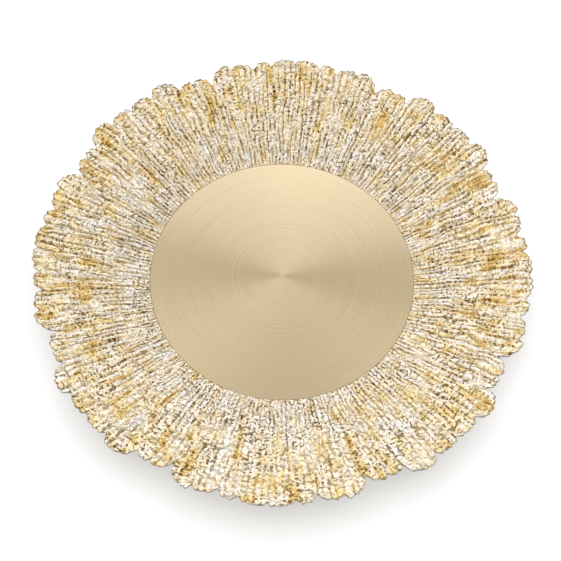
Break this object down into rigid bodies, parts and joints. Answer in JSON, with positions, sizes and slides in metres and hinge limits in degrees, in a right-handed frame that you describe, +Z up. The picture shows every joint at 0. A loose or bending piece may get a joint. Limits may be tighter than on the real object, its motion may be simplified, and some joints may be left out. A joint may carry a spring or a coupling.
{
  "type": "dessert serving plate",
  "caption": "Round serving plate with a wide ribbed reef rim, a scalloped edge and a flat circular-brushed gold disc bonded into its well.",
  "frame": {"origin": "on the plate's axis, at the plane that the foot ring stands on", "axes": "+Z up along the plate's axis, +X and +Y through the middles of the even lobes"},
  "size_m": [0.3272, 0.3272, 0.0285],
  "materials": {
    "reef_gold": "bright silvery metallising under a gold-tinted lacquer that pools in the valleys",
    "brushed_gold": "champagne gold, brushed in circles",
    "adhesive": "milky bonding film"
  },
  "bodies": {
    "root": {"reef_plate": "reef_gold", "brushed_centre_disc": "brushed_gold", "disc_adhesive_film": "adhesive"}
  },
  "joints": []
}
